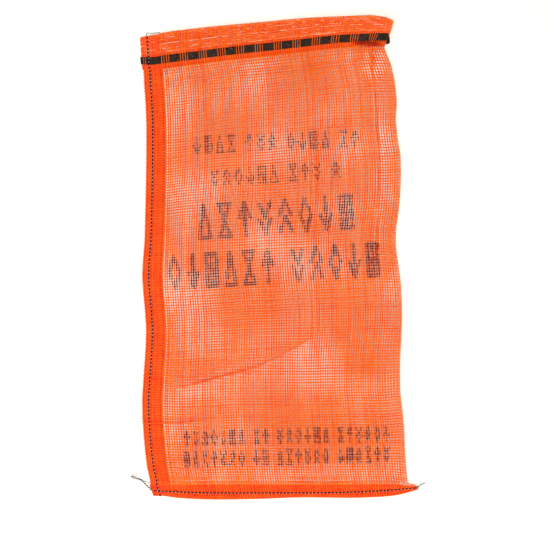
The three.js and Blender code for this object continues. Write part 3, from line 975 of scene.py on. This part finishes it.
def sidePlies(x, y, upper):
    back = backHeight(x, y) - 0.75 * mm
    if not upper:
        return np.maximum(back, seam["looper"])
    onTape = smooth(abs(y - tapeLine(x)), 9 * mm, 5 * mm)
    return backHeight(x, y) + layerGap(x, y) + 0.75 * mm + 0.5 * mm * onTape


sideY = np.arange(hemLow.y + 6 * mm, cadHigh.y, 2 * mm)
sideY = sideY[sideY < np.interp(-215 * mm, *mouthLine)]
sideLine = np.column_stack([np.interp(sideY, *leftLine) + seam["inset"], sideY])
sideNeedle, sideLooper = seamThreads("sideSeam", sideLine, sidePlies)
bottomNode = nodeEdges("bottom_needle_thread")[:, 0]
bottomX = np.linspace(bottomNode[:, 0].min(), bottomNode[:, 0].max(), 60)
bottomY = [bottomNode[abs(bottomNode[:, 0] - x) < 9 * mm][:, 1].mean() for x in bottomX]
bottomNeedle, bottomLooper = seamThreads("bottomSeam", np.column_stack([bottomX, bottomY]), sidePlies)
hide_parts("side_needle_thread")
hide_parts("side_looper_thread")
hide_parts("bottom_needle_thread")
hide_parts("bottom_looper_thread")
print("seams sewn")

# thread tails
tails = {
    "cornerRadius": 0.55 * mm,
    "hemRadius": 0.50 * mm,
    "mouthRadius": 0.32 * mm,
    "frayRadius": 0.36 * mm,
    "darkShare": 1.25,            # how much thicker the dark thread is than the pale one
}
cornerTailRoute = [(-208.2, -368.2, 1.9), (-209.8, -366.5, 1.3), (-211.9, -364.4, 0.9),
                   (-214.5, -361.9, 0.75), (-217.8, -358.7, 0.7), (-220.2, -356, 0.7), (-222.7, -353.8, 0.7),
                   (-225.5, -351.9, 0.7), (-228.4, -350.3, 0.7), (-231.5, -349, 0.7), (-234.7, -347.8, 0.7),
                   (-237.8, -346.8, 0.7), (-240.7, -346, 0.7)]
hemTailRoute = [(209.5, -363.8, 4.0), (212, -363.4, 3.4), (214, -363.2, 2), (216, -361.4, 1.3),
                (218.5, -359.4, 0.8), (221.6, -357.8, 0.7), (225.1, -356.6, 0.7)]
mouthTailRoute = [(-214.7, 350.4, 3.6), (-216.2, 352.8, 3.8), (-215.7, 355.4, 3.6), (-213.2, 356.4, 3.2),
                  (-210.4, 355.6, 2.6), (-206, 356, 1.8), (-200.5, 356.9, 1.1), (-194.7, 357.6, 0.7)]


def rounded(route, gap):
    # a smooth line through given points
    points = np.array(route) * mm
    knots = np.arange(len(points))
    fine = np.linspace(0, len(points) - 1, len(points) * 12)
    found = []
    for k in range(3):
        slope = np.gradient(points[:, k])
        low = np.clip(np.floor(fine).astype(int), 0, len(points) - 2)
        t = fine - low
        a, b, ma, mb = points[low, k], points[low + 1, k], slope[low], slope[low + 1]
        found.append((2 * t**3 - 3 * t**2 + 1) * a + (t**3 - 2 * t**2 + t) * ma
                     + (3 * t**2 - 2 * t**3) * b + (t**3 - t**2) * mb)
    return pathOf(np.stack(found, -1), gap)


def twistedTail(name, route, spread, pitch):
    # a pale thread along a route, with a thicker dark one wound round it
    radius = tails[name.removesuffix("Tail") + "Radius"]
    dark = radius * tails["darkShare"]
    middle, run = rounded(route, 0.6 * mm)
    way = unit(np.gradient(middle, axis=0))
    aside = unit(np.cross(way, np.array([0, 0, 1.0])))
    over = np.cross(aside, way)
    turn = 2 * math.pi * run / pitch
    wound = middle + aside * (spread * np.cos(turn))[:, None] + over * (spread * 0.8 * np.sin(turn))[:, None]
    wound[:, 2] = np.maximum(wound[:, 2], dark * 1.02)
    middle[:, 2] = np.maximum(middle[:, 2], radius * 1.02)
    pale = threadPiece(name + "White", middle, radius, whiteThread)
    return pale, threadPiece(name + "Black", wound, dark, blackThread)


cornerWhite, cornerBlack = twistedTail("cornerTail", cornerTailRoute, 0.75 * mm, 4.6 * mm)
hemWhite, hemBlack = twistedTail("hemTail", hemTailRoute, 0.62 * mm, 4.6 * mm)
mouthWhite, mouthBlack = twistedTail("mouthTail", mouthTailRoute, 0.5 * mm, 4.0 * mm)
# loose ends at the corner: a second strand out of the side seam, a pale loop and frayed fibres
cornerEnds = {
    "cornerStrand": (blackThread, [(-211.5, -355.5, 2.2), (-214, -355.2, 1.2), (-218, -354.2, 0.9),
                                   (-223, -351.5, 1.3), (-227, -349.6, 1.9)]),
    "cornerLoop": (whiteThread, [(-233.5, -347.6, 1.2), (-237.2, -344.4, 1.0), (-238.4, -340.2, 0.8),
                                 (-235.6, -337.4, 0.7), (-232.2, -339.0, 0.8), (-231.6, -343.0, 1.2),
                                 (-233.0, -346.6, 1.8)]),
    "cornerFrayA": (whiteThread, [(-229, -349.6, 1.7), (-233, -346.8, 1.9), (-237, -344.6, 1.2),
                                  (-240.2, -343.2, 0.6)]),
    "cornerFrayB": (blackThread, [(-228, -350.6, 1.2), (-232, -350.4, 1.0), (-236.5, -349.4, 0.7),
                                  (-240.6, -348.6, 0.5)]),
    "cornerFrayC": (whiteThread, [(-230, -348.4, 1.9), (-234.6, -348.2, 1.9), (-238.6, -346.2, 1.2),
                                  (-241.2, -344.9, 0.6)]),
}
for name, (finish, route) in cornerEnds.items():
    threadPiece(name, rounded(route, mm)[0], tails["frayRadius"], finish)
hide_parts("corner_thread_tail")
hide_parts("hem_thread_tail")
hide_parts("mouth_thread_tail")
print("thread tails made")
